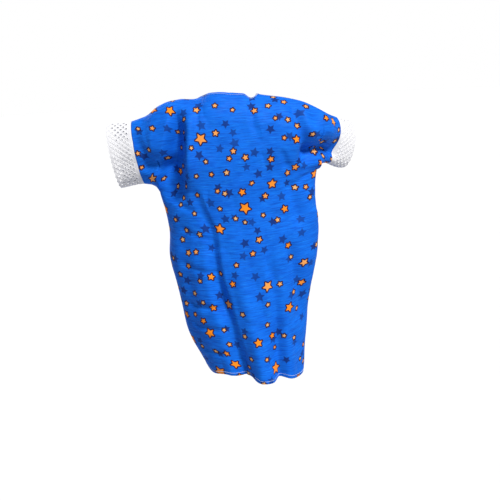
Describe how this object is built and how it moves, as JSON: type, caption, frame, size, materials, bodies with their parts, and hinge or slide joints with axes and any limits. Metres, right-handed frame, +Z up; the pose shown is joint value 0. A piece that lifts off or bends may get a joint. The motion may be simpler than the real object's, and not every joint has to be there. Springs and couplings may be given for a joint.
{
  "type": "wax print kaftan dress",
  "caption": "Boxy calf-length kaftan dress with short grown-on sleeves and eyelet lace cuffs, hollow and open, in its worn shape with the sleeves held out.",
  "frame": {"origin": "midway between the two shoulders, at the height where the shoulder seams meet the neck binding, in the plane of the side and shoulder seams", "axes": "+Z up along the wearer, the front of the dress faces -Y and its back +Y, the wearer's left sleeve points to +X"},
  "size_m": [0.9579, 0.4082, 1.1262],
  "materials": {
    "wax_print_cotton": "printed plain-weave cotton, cobalt blue with orange and navy stars, soft sheen",
    "eyelet_lace": "white cotton eyelet lace, matt"
  },
  "bodies": {
    "root": {"back_panel": "wax_print_cotton", "front_panel": "wax_print_cotton", "cuff_left": "eyelet_lace", "cuff_right": "eyelet_lace", "neck_binding": "wax_print_cotton"}
  },
  "joints": []
}
